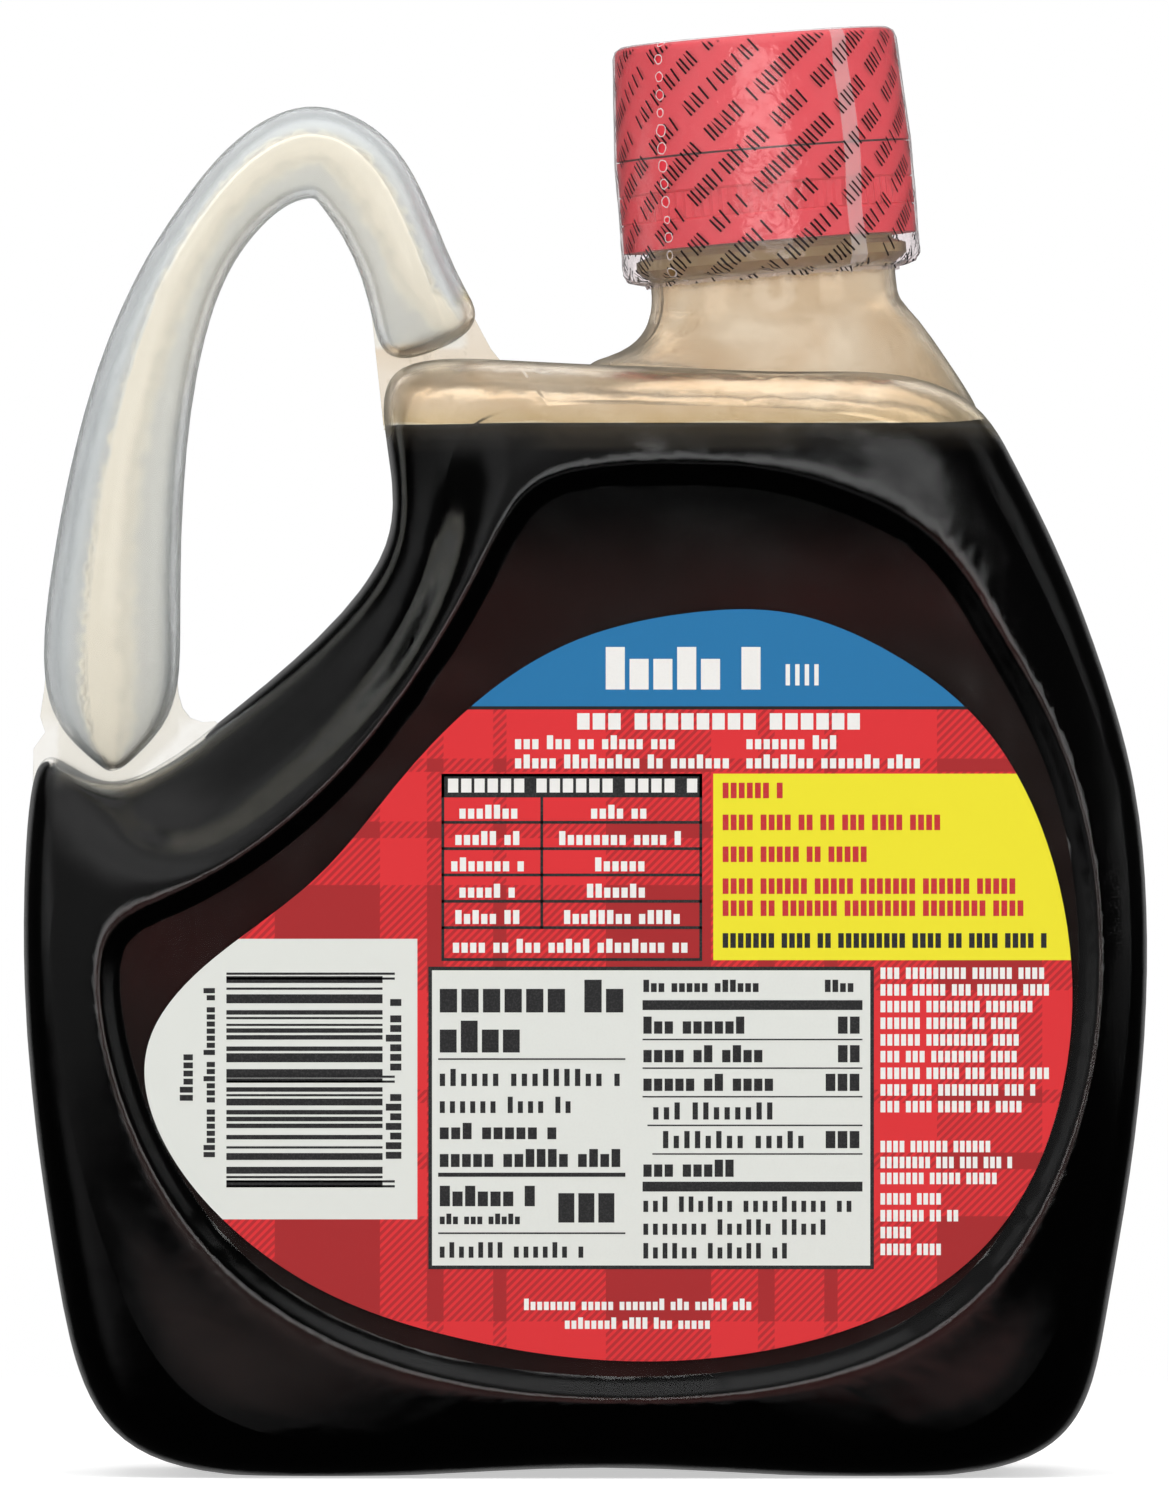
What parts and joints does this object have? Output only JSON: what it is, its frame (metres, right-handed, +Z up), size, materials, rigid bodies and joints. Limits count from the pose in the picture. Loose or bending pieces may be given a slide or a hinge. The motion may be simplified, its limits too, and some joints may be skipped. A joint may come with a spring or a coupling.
{
  "type": "pancake syrup bottle",
  "caption": "Flat clear bottle of dark syrup with a loop handle at one shoulder, a leaning neck with a flip-top cap under a clear shrink band, and a label in each recessed panel.",
  "frame": {"origin": "centre of the bounding box in X and Y, on the plane the bottle stands on", "axes": "+Z up; X along the bottle's width, handle at -X and neck at +X; Y through its depth, back label at -Y, front label at +Y"},
  "size_m": [0.138, 0.053, 0.1785],
  "materials": {
    "clear_plastic": "clear glossy blow-moulded plastic",
    "dark_syrup": "very dark red-brown syrup, seen through clear plastic",
    "red_cap_plastic": "satin red injection-moulded plastic",
    "clear_film": "clear thin heat-shrunk film",
    "printed_label": "gloss-coated printed label"
  },
  "bodies": {
    "root": {"bottle": "clear_plastic", "syrup": "dark_syrup", "cap_base": "red_cap_plastic", "cap_lid": "red_cap_plastic", "shrink_band": "clear_film", "back_label": "printed_label", "front_label": "printed_label"}
  },
  "joints": []
}
